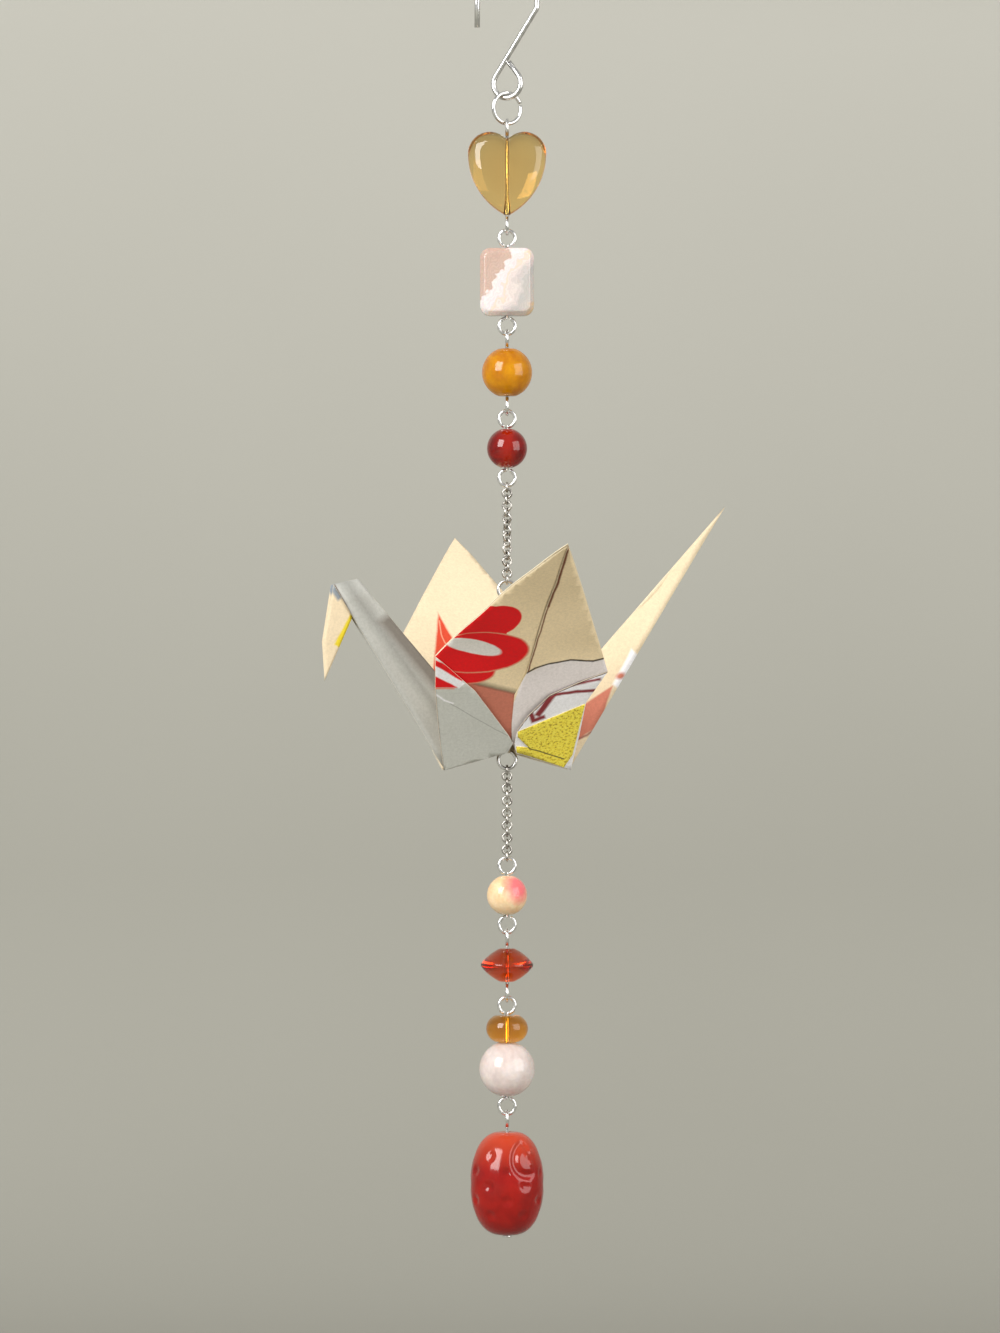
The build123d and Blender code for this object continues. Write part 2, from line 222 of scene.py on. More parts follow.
# A spun turn of wire. It starts at this angle from straight down and goes round the facing.
def spinRing(bm, centre, facing, radius, thickness, sweep, start=0.0, steps=44, sides=16):
    begin = Matrix.Rotation(start, 3, facing) @ down
    section = bmesh.ops.create_circle(bm, segments=sides, radius=thickness / 2)["verts"]
    heading = facing.cross(begin).to_track_quat("Z", "Y").to_matrix().to_4x4()
    place = Matrix.Translation(centre + begin * radius) @ heading
    bmesh.ops.transform(bm, matrix=place, verts=section)
    edges = list({edge for vert in section for edge in vert.link_edges})
    full = sweep >= 2 * pi
    spun = bmesh.ops.spin(
        bm, geom=section + edges, cent=centre, axis=facing, angle=sweep, steps=steps, use_merge=full,
    )
    if not full:
        last = [item for item in spun["geom_last"] if isinstance(item, bmesh.types.BMEdge)]
        bmesh.ops.contextual_create(bm, geom=edges)
        bmesh.ops.contextual_create(bm, geom=last)


def uprightRod(bm, low, high, thickness, sides=16):
    rod = bmesh.ops.create_cone(
        bm, cap_ends=True, segments=sides, radius1=thickness / 2, radius2=thickness / 2,
        depth=(high - low).length,
    )
    bmesh.ops.translate(bm, vec=(low + high) / 2, verts=rod["verts"])


def topRing(node):
    joint = joints[bodyOf[node]]
    normal = Vector(joint["axis"]).normalized()
    if normal.y > 0.1 or normal.x < -0.9:
        normal = -normal
    return Vector(joint["pos_m"]), normal


def eyePin(node, metal):
    low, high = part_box(node)
    centre, facing = topRing(node)
    outer = 2 * (high.z - centre.z)
    radius = (outer - wire["pin"]) / 2
    bottom = Vector((0, 0, low.z + outer / 2))
    bm = bmesh.new()
    spinRing(bm, centre, facing, radius, wire["pin"], wire["loopSweep"])
    spinRing(bm, bottom, facing, radius, wire["pin"], wire["loopSweep"], start=pi)
    uprightRod(bm, bottom - down * radius, centre + down * radius, wire["pin"])
    makePiece(node + "_wire", bm, [metal], node)


for pinNode in ("heart", "agate", "yellow", "red", "peach", "lentil", "white"):
    eyePin(pinNode + "_eye_pin", metals["pin"])
eyePin("crane_eye_pin", metals["crane"])


def headPin(node):
    low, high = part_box(node)
    centre, facing = topRing(node)
    radius = high.z - centre.z - wire["pin"] / 2
    foot = Vector((0, 0, low.z + wire["headHeight"] / 2))
    bm = bmesh.new()
    spinRing(bm, centre, facing, radius, wire["pin"], wire["loopSweep"])
    uprightRod(bm, foot, centre + down * radius, wire["pin"])
    head = bmesh.ops.create_cone(
        bm, cap_ends=True, segments=24, radius1=wire["headWidth"] / 2,
        radius2=wire["headWidth"] / 2, depth=wire["headHeight"],
    )["verts"]
    bmesh.ops.translate(bm, vec=foot, verts=head)
    rim = {edge for vert in head for edge in vert.link_edges if abs(edge.verts[0].co.z - edge.verts[1].co.z) < 0.01 * mm}
    bmesh.ops.bevel(
        bm, geom=list(rim), offset=0.15 * mm, segments=3, profile=0.5, affect="EDGES", material=-1,
    )
    makePiece(node + "_wire", bm, [metals["pin"]], node)


headPin("carved_head_pin")


def chainLink(node):
    low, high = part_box(node)
    centre, facing = topRing(node)
    radius = (high.z - low.z - wire["link"]) / 2
    bm = bmesh.new()
    spinRing(bm, centre, facing, radius, wire["link"], 2 * pi, steps=28, sides=wire["linkSides"])
    makePiece(node + "_wire", bm, [metals["chain"]], node)


for linkNode in sorted(nodes):
    if "chain_link" in linkNode:
        chainLink(linkNode)

ringCentre, ringFacing = topRing("jump_ring")
ringLow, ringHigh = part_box("jump_ring")
ringRadius = (ringHigh.z - ringLow.z - wire["ring"]) / 2
ringMesh = bmesh.new()
spinRing(
    ringMesh, ringCentre, ringFacing, ringRadius, wire["ring"], wire["ringSweep"], wire["ringStart"],
)
makePiece("jump_ring_wire", ringMesh, [metals["hook"]], "jump_ring")

# The hook is one wire, bent in turn: (radius, degrees) is a bend and (0, length) a straight run
hook = {
    "turn": radians(-20),
    "radius": 6.3 * mm,
    "tip": 5.0 * mm,
    "side": 1.2 * mm,
    "bendRadius": 1.5 * mm,
    "slope": 56.6,
    "loopRadius": 2.85 * mm,
    "loopArc": 251,
    "end": 3.1 * mm,
}


def bentWire(bm, start, heading, facing, thickness, moves):
    section = bmesh.ops.create_circle(bm, segments=wire["sides"], radius=thickness / 2)["verts"]
    turn = heading.to_track_quat("Z", "Y").to_matrix().to_4x4()
    bmesh.ops.transform(bm, matrix=Matrix.Translation(start) @ turn, verts=section)
    verts = section
    edges = list({edge for vert in section for edge in vert.link_edges})
    firstEdges = edges
    place = start.copy()
    for radius, amount in moves:
        if radius:
            side = 1 if amount > 0 else -1
            centre = place + facing.cross(heading) * radius * side
            steps = max(6, round(abs(amount) / 7))
            made = bmesh.ops.spin(
                bm, geom=verts + edges, cent=centre, axis=facing, angle=radians(amount),
                steps=steps, use_merge=False,
            )["geom_last"]
            bend = Matrix.Rotation(radians(amount), 3, facing)
            place = centre + bend @ (place - centre)
            heading = bend @ heading
        else:
            made = bmesh.ops.extrude_edge_only(bm, edges=edges)["geom"]
            moved = [item for item in made if isinstance(item, bmesh.types.BMVert)]
            bmesh.ops.translate(bm, vec=heading * amount, verts=moved)
            place = place + heading * amount
        verts = [item for item in made if isinstance(item, bmesh.types.BMVert)]
        edges = [
            item for item in made
            if isinstance(item, bmesh.types.BMEdge) and item.verts[0] in verts and item.verts[1] in verts
        ]
    bmesh.ops.contextual_create(bm, geom=firstEdges)
    bmesh.ops.contextual_create(bm, geom=edges)
    return place


hookAcross = Vector((cos(hook["turn"]), sin(hook["turn"]), 0))
hookFacing = Vector((sin(hook["turn"]), -cos(hook["turn"]), 0))
slope = radians(hook["slope"])
bendEnd = hook["radius"] - hook["bendRadius"] * (1 - sin(slope))
diagonal = (bendEnd + hook["loopRadius"] * sin(slope)) / cos(slope)
hookStart = -hookAcross * hook["radius"] + Vector((0, 0, wire["hook"] / 2 - hook["radius"] - hook["tip"]))
hookMesh = bmesh.new()
bentWire(hookMesh, hookStart, -down, hookFacing, wire["hook"], [
    (0, hook["tip"]),
    (hook["radius"], -180),
    (0, hook["side"]),
    (hook["bendRadius"], hook["slope"] - 90),
    (0, diagonal),
    (hook["loopRadius"], hook["loopArc"]),
    (0, hook["end"]),
])
makePiece("s_hook_wire", hookMesh, [metals["hook"]], "s_hook")
print("wire pieces made")

# Turned beads: an outline of arcs, each through three points, spun about the bore

bead = {
    "bore": 0.44 * mm,
    "mouthRound": 0.14 * mm,
    "arcSteps": 28,
    "spinSteps": 72,
}


# The centre of the circle through three points of the outline's plane
def arcCentre(first, middle, last):
    (ax, az), (bx, bz), (cx, cz) = first, middle, last
    twice = 2 * (ax * (bz - cz) + bx * (cz - az) + cx * (az - bz))
    a, b, c = ax * ax + az * az, bx * bx + bz * bz, cx * cx + cz * cz
    x = (a * (bz - cz) + b * (cz - az) + c * (az - bz)) / twice
    z = (a * (cx - bx) + b * (ax - cx) + c * (bx - ax)) / twice
    return Vector((x, 0, z))


# An arc of vertices: its first point, spun about the arc's centre, over the last point
def outlineArc(bm, first, middle, last):
    centre = arcCentre(first, middle, last)
    start = bm.verts.new((first[0], 0, first[1]))
    a = Vector((first[0], 0, first[1])) - centre
    b = Vector((last[0], 0, last[1])) - centre
    angle = a.angle(b)
    axis = a.cross(Vector((middle[0], 0, middle[1])) - centre).normalized()
    before = set(bm.verts)
    bmesh.ops.spin(
        bm, geom=[start], cent=centre, axis=axis, angle=angle, steps=bead["arcSteps"], use_merge=False,
    )
    return [start] + [vert for vert in bm.verts if vert not in before]


def turnedBead(name, node, arcs, material):
    low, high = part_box(node)
    middle = (low.z + high.z) / 2
    half = (high.z - low.z) / 2
    bm = bmesh.new()
    chain = []
    for arc in arcs:
        chain += outlineArc(bm, *arc)
    top = bm.verts.new((bead["bore"], 0, half))
    bottom = bm.verts.new((bead["bore"], 0, -half))
    chain += [bottom, top]
    for vert, following in zip(chain, chain[1:] + chain[:1]):
        if not bm.edges.get((vert, following)):
            bm.edges.new((vert, following))
    bmesh.ops.spin(
        bm, geom=bm.verts[:] + bm.edges[:], cent=(0, 0, 0), axis=(0, 0, 1), angle=2 * pi,
        steps=bead["spinSteps"], use_merge=True,
    )
    bmesh.ops.remove_doubles(bm, verts=bm.verts, dist=0.004 * mm)
    sharp = [edge for edge in bm.edges if len(edge.link_faces) == 2 and edge.calc_face_angle() > 0.7]
    bmesh.ops.bevel(
        bm, geom=sharp, offset=bead["mouthRound"], segments=3, profile=0.5, affect="EDGES", material=-1,
    )
    bmesh.ops.translate(bm, vec=(0, 0, middle), verts=bm.verts)
    return makePiece(name, bm, [material], node)


def roundArcs(node, flat=None):
    low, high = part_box(node)
    radius = (high.x - low.x) / 2
    half = (high.z - low.z) / 2
    mouth = flat or (radius * radius - half * half) ** 0.5
    return [((mouth, half), (radius, 0), (mouth, -half))]


# Polished stone: a cloudy body colour that lets a little light in, under a clear gloss
def stone(name, node, deep, pale, veins, depth, scatter, gloss=0.12):
    material = newMaterial(
        name, Subsurface_Weight=scatter, Subsurface_Scale=depth, Roughness=gloss,
        Coat_Weight=0.25, Coat_Roughness=0.04, IOR=1.54, Specular_IOR_Level=0.3,
    )
    shader(material).inputs["Subsurface Radius"].default_value = (1.0, 0.6, 0.4)
    place = nodePlace(material, node)
    cloud = cloudNoise(material, place, veins, 4.0, 0.55, 0.6)
    body = ramp(material, cloud, [(0.34, deep), (0.66, pale)])
    speck = cloudNoise(material, place, veins * 9, 2.0, 0.6)
    fine = ramp(material, speck, [(0.35, (0.86, 0.86, 0.86, 1)), (0.65, (1, 1, 1, 1))])
    colour = mixColour(material, 0.6, body, fine, "MULTIPLY")
    bump(material, speck, 0.05, 0.02 * mm)
    return material, place, colour


def setColour(material, colour):
    plug(material, shader(material).inputs["Base Color"], colour)


yellowStone, place, colour = stone(
    "yellow_bead_stone", "yellow_bead", screenColour(176, 104, 0), screenColour(208, 142, 0),
    160.0, 1.6 * mm, 0.3,
)
setColour(yellowStone, colour)
turnedBead("yellow_bead_turned", "yellow_bead", roundArcs("yellow_bead"), yellowStone)

# Red carnelian, painted lighter in a band down its middle beside the bore: a painted glow that stands in for light seen
# through the stone
redStone, place, colour = stone(
    "red_bead_stone", "red_bead", screenColour(104, 3, 1), screenColour(156, 9, 2),
    240.0, 1.4 * mm, 0.15, 0.06,
)
side = addNode(redStone, "ShaderNodeSeparateXYZ", {"Vector": place}, output=0)
# Painted glow: up to 0.65 of a lighter red near the middle, fading out by 2.4 mm to each side
core = spread(redStone, sums(redStone, "ABSOLUTE", side), 0.4 * mm, 2.4 * mm, 0.65, 0.0)
colour = mixColour(redStone, core, colour, screenColour(190, 34, 6))
setColour(redStone, colour)
shader(redStone).inputs["Transmission Weight"].default_value = 0.35
turnedBead("red_bead_turned", "red_bead", roundArcs("red_bead"), redStone)

# Peach stone with a rose-pink patch at its upper right
peachStone, place, colour = stone(
    "peach_bead_stone", "peach_bead", screenColour(236, 196, 146), screenColour(246, 224, 186),
    200.0, 1.6 * mm, 0.35,
)
inputs = {0: place, 1: (2.2 * mm, -2.4 * mm, 1.6 * mm)}
away = addNode(peachStone, "ShaderNodeVectorMath", inputs, output=1, operation="DISTANCE")
ragged = cloudNoise(peachStone, place, 420.0, 4.0, 0.6)
away = sums(peachStone, "ADD", away, sums(peachStone, "MULTIPLY", ragged, 1.9 * mm))
blush = spread(peachStone, away, 2.6 * mm, 4.6 * mm, 0.9, 0.0)
colour = mixColour(peachStone, blush, colour, screenColour(236, 104, 118))
setColour(peachStone, colour)
turnedBead("peach_bead_turned", "peach_bead", roundArcs("peach_bead"), peachStone)

# White stone: milky, faintly pink, with soft pale clouds
whiteStone, place, colour = stone(
    "white_bead_stone", "white_bead", screenColour(208, 190, 184), screenColour(228, 218, 214),
    130.0, 2.4 * mm, 0.4,
)
setColour(whiteStone, colour)
turnedBead("white_bead_turned", "white_bead", roundArcs("white_bead"), whiteStone)


# Coloured glass: the tint deepens with the depth of glass that the light crosses
def glass(name, node, tint, depthColour, density, roughness=0.01):
    material = newMaterial(name, Transmission_Weight=1.0, IOR=1.5)
    place = nodePlace(material, node)
    swirl = cloudNoise(material, place, 120.0, 3.0, 0.5, 0.5)
    colour = ramp(material, swirl, [(0.3, tuple(0.92 * part for part in tint[:3]) + (1.0,)), (0.7, tint)])
    plug(material, shader(material).inputs["Base Color"], colour)
    haze = spread(material, cloudNoise(material, place, 900.0, 2.0), 0.3, 0.7, roughness, roughness * 3)
    plug(material, shader(material).inputs["Roughness"], haze)
    inputs = {"Color": depthColour, "Density": density}
    depth = addNode(material, "ShaderNodeVolumeAbsorption", inputs)
    out = material.node_tree.nodes["Material Output"]
    material.node_tree.links.new(depth, out.inputs["Volume"])
    bump(material, swirl, 0.04, 0.05 * mm)
    return material


lentilGlass = glass(
    "lentil_bead_glass", "lentil_bead", (0.97, 0.58, 0.26, 1), (0.95, 0.34, 0.02, 1), 330.0,
)
rondelleGlass = glass(
    "rondelle_glass", "amber_rondelle", (1.0, 0.86, 0.34, 1), (1.0, 0.66, 0.02, 1), 300.0,
)
heartGlass = glass(
    "heart_glass", "heart_bead", (0.98, 0.88, 0.52, 1), (0.97, 0.66, 0.10, 1), 130.0,
)

lentil = {"flat": 1.5 * mm, "rim": 0.25 * mm, "crownReach": 3.87 * mm, "crownRise": 1.69 * mm}
lentilLow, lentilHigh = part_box("lentil_bead")
lentilRadius = (lentilHigh.x - lentilLow.x) / 2
lentilHalf = (lentilHigh.z - lentilLow.z) / 2
upperArc = (
    (lentil["flat"], lentilHalf), (lentil["crownReach"], lentil["crownRise"]), (lentilRadius, lentil["rim"]),
)
lowerArc = (
    (lentilRadius, -lentil["rim"]), (lentil["crownReach"], -lentil["crownRise"]), (lentil["flat"], -lentilHalf),
)
turnedBead("lentil_bead_turned", "lentil_bead", [upperArc, lowerArc], lentilGlass)
turnedBead(
    "amber_rondelle_turned", "amber_rondelle", roundArcs("amber_rondelle", 2.3 * mm),
    rondelleGlass,
)
print("turned beads made")


# A shaped bead starts from its merged CAD skin, evened out at a small grain and softened
def shapedBead(name, node, grain, softening, material, shape):
    bm = bmesh.new()
    bm.from_mesh(nodes[node].data)
    bmesh.ops.remove_doubles(bm, verts=bm.verts, dist=0.002 * mm)
    piece = makePiece(name, bm, [material], node)
    remesh = piece.modifiers.new("grain", "REMESH")
    remesh.mode = "VOXEL"
    remesh.voxel_size = grain
    remesh.use_smooth_shade = True
    bakeModifiers(piece)
    bm = bmesh.new()
    bm.from_mesh(piece.data)
    for _ in range(softening):
        bmesh.ops.smooth_vert(
            bm, verts=bm.verts, factor=0.5, use_axis_x=True, use_axis_y=True, use_axis_z=True,
        )
    shape(bm)
    bm.to_mesh(piece.data)
    bm.free()
    piece.data.shade_smooth()
    if not piece.data.materials:
        piece.data.materials.append(material)
    return piece


heart = {"grain": 0.2 * mm, "softening": 6, "thinning": 0.34, "reach": 8.6 * mm}
heartLow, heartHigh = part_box("heart_bead")
heartMiddle = (heartLow + heartHigh) / 2


# Both faces of the heart are crowned: thick at the middle, thinner towards the outline
def crownHeart(bm):
    for vert in bm.verts:
        offset = vert.co - heartMiddle
        share = min(Vector((offset.x, offset.z)).length / heart["reach"], 1.0)
        if Vector((offset.x, offset.y)).length > 2 * bead["bore"]:
            vert.co.y *= 1 - heart["thinning"] * share * share


shapedBead(
    "heart_bead_shaped", "heart_bead", heart["grain"], heart["softening"], heartGlass,
    crownHeart,
)

# Lace agate: wavy bands on the slant, a brownish corner, a clearer grey field and a tan foot
agateStone = newMaterial(
    "agate_stone", Roughness=0.16, Coat_Weight=0.4, Coat_Roughness=0.05, IOR=1.54,
    Subsurface_Weight=0.25, Subsurface_Scale=1.2 * mm,
)
place = nodePlace(agateStone, "agate_bead")
warp = cloudNoise(agateStone, place, 260.0, 3.0, 0.6)
inputs = {0: place, 1: (0.88, 0.3, -0.48)}
sideways = addNode(agateStone, "ShaderNodeVectorMath", inputs, output=1, operation="DOT_PRODUCT")
warped = sums(agateStone, "ADD", sideways, spread(agateStone, warp, 0.3, 0.7, -1.6 * mm, 1.6 * mm))
across = spread(agateStone, warped, -8.0 * mm, 8.0 * mm)
lace = ramp(agateStone, across, [
    (0.0, screenColour(196, 168, 154)), (0.29, screenColour(200, 174, 160)),
    (0.31, screenColour(232, 222, 220)), (0.44, screenColour(226, 216, 216)),
    (0.47, screenColour(226, 206, 184)), (0.50, screenColour(228, 214, 208)),
    (0.60, screenColour(208, 198, 194)), (0.68, screenColour(186, 182, 178)),
    (0.84, screenColour(198, 190, 184)), (0.90, screenColour(208, 182, 146)),
])
turns = sums(agateStone, "MULTIPLY", warped, 9200.0)
fine = spread(agateStone, sums(agateStone, "SINE", turns), -1.0, 1.0, 0.90, 1.0)
lace = mixColour(agateStone, 1.0, lace, fine, "MULTIPLY")
setColour(agateStone, lace)
bump(agateStone, warp, 0.05, 0.02 * mm)
agate = {"grain": 0.16 * mm, "softening": 3}
shapedBead(
    "agate_bead_shaped", "agate_bead", agate["grain"], agate["softening"], agateStone,
    lambda bm: None,
)
print("shaped beads made")

# Carved bead: a spun oval barrel, then its relief pressed into the skin
carved = {
    "flat": 1.5 * mm,
    "shoulder": 0.66,
    "waist": 0.62,
    "outlineSteps": 110,
    "spinSteps": 220,
    "dimple": 1.5 * mm,
    "dimpleDepth": 0.34 * mm,
    "rows": (-5.8, -2.9, 0.0, 2.9, 5.8),
    "perRow": 6,
    "scrollAngle": radians(-55),
    "scrollHeight": 5.0 * mm,
    "scrollRadius": 2.9 * mm,
    "scrollWidth": 0.62 * mm,
    "scrollDepth": 0.55 * mm,
    "scrollOpening": 0.9,
    "bosses": ((0.2, 0.9), (0.9, -0.6), (1.6, 1.7)),
    "bossRadius": 0.9 * mm,
}
carvedLow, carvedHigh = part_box("carved_bead")
carvedHalf = (carvedHigh.z - carvedLow.z) / 2
carvedMiddle = (carvedHigh.z + carvedLow.z) / 2
carvedRadius = (carvedHigh.x - carvedLow.x) / 2
handles = [
    Vector((carved["flat"], 0, carvedHalf)), Vector((carved["shoulder"] * carvedRadius, 0, carvedHalf)),
    Vector((carvedRadius, 0, carved["waist"] * carvedHalf)), Vector((carvedRadius, 0, 0)),
]
upperHalf = interpolate_bezier(*handles, carved["outlineSteps"] // 2)
outline = upperHalf + [Vector((point.x, 0, -point.z)) for point in reversed(upperHalf[:-1])]
carvedMesh = bmesh.new()
outlineVerts = [carvedMesh.verts.new(point) for point in outline]
outlineVerts += [carvedMesh.verts.new((bead["bore"], 0, -carvedHalf)), carvedMesh.verts.new((bead["bore"], 0, carvedHalf))]
for vert, following in zip(outlineVerts, outlineVerts[1:] + outlineVerts[:1]):
    carvedMesh.edges.new((vert, following))
bmesh.ops.spin(
    carvedMesh, geom=carvedMesh.verts[:] + carvedMesh.edges[:], cent=(0, 0, 0), axis=(0, 0, 1),
    angle=2 * pi, steps=carved["spinSteps"], use_merge=True,
)
bmesh.ops.remove_doubles(carvedMesh, verts=carvedMesh.verts, dist=0.004 * mm)


def smoothDrop(distance, radius):
    share = min(distance / radius, 1.0)
    return (1 - share * share) ** 2


# How deep the carving is at a place of the barrel, in metres
def carvedRelief(angle, height):
    scrollX = (angle - carved["scrollAngle"]) * carvedRadius
    scrollZ = height - carved["scrollHeight"]
    reach = (scrollX * scrollX + scrollZ * scrollZ) ** 0.5
    depth = 0.0
    if reach < carved["scrollRadius"] * 1.5:
        turned = abs(Vector((1, 0)).angle_signed(Vector((scrollX, scrollZ)), 0)) if reach else pi
        tail = min(max((turned - carved["scrollOpening"]) / 0.5, 0.0), 1.0)
        groove = smoothDrop(abs(reach - carved["scrollRadius"]), carved["scrollWidth"] * (1 + tail))
        depth += carved["scrollDepth"] * tail * groove
        for bossX, bossZ in carved["bosses"]:
            away = ((scrollX - bossX * mm) ** 2 + (scrollZ - bossZ * mm) ** 2) ** 0.5
            depth -= 0.4 * carved["scrollDepth"] * smoothDrop(away, carved["bossRadius"])
        return depth
    for index, row in enumerate(carved["rows"]):
        away = height - row * mm
        if abs(away) > carved["dimple"]:
            continue
        step = 2 * pi / carved["perRow"]
        shifted = angle + (index % 2) * step / 2
        near = (shifted + step / 2) % step - step / 2
        spot = ((near * carvedRadius) ** 2 + (away * 1.1) ** 2) ** 0.5
        depth += carved["dimpleDepth"] * smoothDrop(spot, carved["dimple"])
    return depth


for vert in carvedMesh.verts:
    radius = Vector((vert.co.x, vert.co.y)).length
    if radius > carved["flat"] * 1.4:
        angle = Vector((1, 0)).angle_signed(Vector((vert.co.x, vert.co.y)), 0)
        depth = carvedRelief(-angle, vert.co.z)
        vert.co.x *= (radius - depth) / radius
        vert.co.y *= (radius - depth) / radius
bmesh.ops.translate(carvedMesh, vec=(0, 0, carvedMiddle), verts=carvedMesh.verts)

carvedStone, place, colour = stone(
    "carved_bead_stone", "carved_bead", screenColour(132, 6, 3), screenColour(164, 18, 8),
    110.0, 2.2 * mm, 0.2, 0.14,
)
# Painted glow: lighter and more orange towards the top, standing in for light coming through the stone from above
height = addNode(carvedStone, "ShaderNodeSeparateXYZ", {"Vector": place}, output=2)
glowTop = spread(carvedStone, height, 3.0 * mm, 9.6 * mm, 0.0, 0.75)
colour = mixColour(carvedStone, glowTop, colour, screenColour(200, 72, 38))
setColour(carvedStone, colour)
makePiece("carved_bead_shaped", carvedMesh, [carvedStone], "carved_bead")
print("carved bead made")

# The folded crane. Points are in its own frame, in millimetres: x to the tail, y to the far
# wing, z up from the line through its feet. A place on a page is (across, up the page).
crane = {
    "turn": radians(13),
    "footDrop": 0.394,
    "pageGap": 0.5,
    "lowTilt": radians(41),
    "tipTilt": {-1: radians(63.5), 1: radians(52.5)},
    "tiltStart": 18.0,
    "tip": 66.74,
    "paper": 0.15,
    "hinge": 3.24,
    "foot": 12.8,
    "cornerX": 17.07,
    "cornerY": 25.54,
    "step": 1.6,
    "apexHeight": 22.4,
    "holeDrop": 0.6,
}
craneBase = Vector((0, 0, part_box("paper_crane")[0].z + crane["footDrop"] * mm))
craneTurn = Matrix.Rotation(crane["turn"], 3, "Z")


def craneToWorld(point):
    return craneBase + craneTurn @ (Vector(point) * mm)


# A page stands at one tilt up to tiltStart, then leans out more and more towards its tip
def pageToCrane(x, up, out, side):
    low = min(up, crane["tiltStart"])
    outward = low * sin(crane["lowTilt"])
    height = low * cos(crane["lowTilt"])
    tilt = crane["lowTilt"]
    if up > low:
        bendRate = (crane["tipTilt"][side] - crane["lowTilt"]) / (crane["tip"] - crane["tiltStart"])
        tilt = crane["lowTilt"] + bendRate * (up - low)
        height += (sin(tilt) - sin(crane["lowTilt"])) / bendRate
        outward += (cos(crane["lowTilt"]) - cos(tilt)) / bendRate
    outward += out * cos(tilt)
    height -= out * sin(tilt)
    return (x, side * (crane["pageGap"] + outward), height)


# A flat sheet, cut into small cells by straight cuts, with its page places as a UV map
def cutSheet(corners, step):
    bm = bmesh.new()
    uvLayer = bm.loops.layers.uv.new("page")
    bm.faces.new([bm.verts.new((x, up, 0)) for x, up in corners])
    bm.normal_update()
    bmesh.ops.triangulate(bm, faces=bm.faces[:], ngon_method="EAR_CLIP")
    lows = [min(corner[axis] for corner in corners) for axis in (0, 1)]
    highs = [max(corner[axis] for corner in corners) for axis in (0, 1)]
    for axis in (0, 1):
        normal = Vector((1, 0, 0)) if axis == 0 else Vector((0, 1, 0))
        cuts = int((highs[axis] - lows[axis]) / step)
        for number in range(1, cuts + 1):
            geom = bm.verts[:] + bm.edges[:] + bm.faces[:]
            at = normal * (lows[axis] + number * (highs[axis] - lows[axis]) / (cuts + 1))
            bmesh.ops.bisect_plane(bm, geom=geom, plane_co=at, plane_no=normal, dist=0.0001)
    for face in bm.faces:
        for loop in face.loops:
            loop[uvLayer].uv = (loop.vert.co.x, loop.vert.co.y)
    return bm


# Paper is never quite flat: a slow waver, the same for sheets that lie on each other
def paperWaver(point, amount):
    return amount * noise.noise(Vector(point) * 0.09 + Vector((3.1, 7.7, 1.3)))


def paperPiece(name, bm, face):
    piece = makePiece(name, bm, [face, paperCore], "paper_crane")
    shell = piece.modifiers.new("thickness", "SOLIDIFY")
    shell.thickness = crane["paper"] * mm
    shell.offset = 0.0
    shell.material_offset_rim = 1
    bakeModifiers(piece)
    return piece


def pageSheet(name, corners, out, side, face, lift=None):
    bm = cutSheet(corners, crane["step"])
    for vert in bm.verts:
        x, up = vert.co.x, vert.co.y
        raised = out + (lift(x, up) if lift else 0.0)
        raised += paperWaver((x, up, side * 5.0), 0.5) * min(max(up - 12.0, 0.0) / 20.0, 1.0)
        vert.co = craneToWorld(pageToCrane(x, up, raised, side))
    return paperPiece(name, bm, face)


# A sheet made of flat panels in the crane's frame, joined along their folds and divided
def panelSheet(name, panels, face, cuts, side=1, bow=0.0):
    bm = bmesh.new()
    uvLayer = bm.loops.layers.uv.new("page")
    for panel in panels:
        bm.faces.new([bm.verts.new((x, y * side, z)) for x, y, z in panel])
    bmesh.ops.remove_doubles(bm, verts=bm.verts, dist=0.01)
    bmesh.ops.triangulate(bm, faces=bm.faces)
    bmesh.ops.subdivide_edges(bm, edges=bm.edges, cuts=cuts, use_grid_fill=True)
    for face_ in bm.faces:
        for loop in face_.loops:
            loop[uvLayer].uv = (loop.vert.co.x, loop.vert.co.z)
    for vert in bm.verts:
        vert.co.y += side * paperWaver(vert.co, bow)
    for vert in bm.verts:
        vert.co = craneToWorld(vert.co)
    return paperPiece(name, bm, face)


# Paper: a printed face, fine fibres, and a pale core that shows on cut and folded edges

def paperSurface(material, page, colour, ground=0.5):
    place = objectPlace(material)
    fibre = cloudNoise(material, place, 1900.0, 5.0, 0.75)
    tone = ramp(material, fibre, [(0.35, (0.80, 0.80, 0.79, 1)), (0.62, (1, 1, 1, 1))])
    blotch = cloudNoise(material, place, 160.0, 3.0, 0.5)
    wash = ramp(material, blotch, [(0.3, (0.94, 0.935, 0.92, 1)), (0.7, (1, 1, 1, 1))])
    printed = mixColour(material, 0.7, colour, tone, "MULTIPLY")
    printed = mixColour(material, ground, printed, wash, "MULTIPLY")
    setColour(material, printed)
    plug(material, shader(material).inputs["Roughness"], spread(material, fibre, 0.2, 0.8, 0.62, 0.82))
    bump(material, fibre, 0.18, 0.03 * mm)
    return material


def pageCoordinates(material, waver=0.5):
    page = addNode(material, "ShaderNodeUVMap", uv_map="page")
    wander = cloudNoise(material, page, 0.22, 3.0, 0.6, output=1)
    inputs = {0: wander, 1: (waver, waver, 0), 2: page}
    moved = addNode(material, "ShaderNodeVectorMath", inputs, operation="MULTIPLY_ADD")
    inputs = {0: moved, 1: (waver / 2, waver / 2, 0)}
    return addNode(material, "ShaderNodeVectorMath", inputs, operation="SUBTRACT")


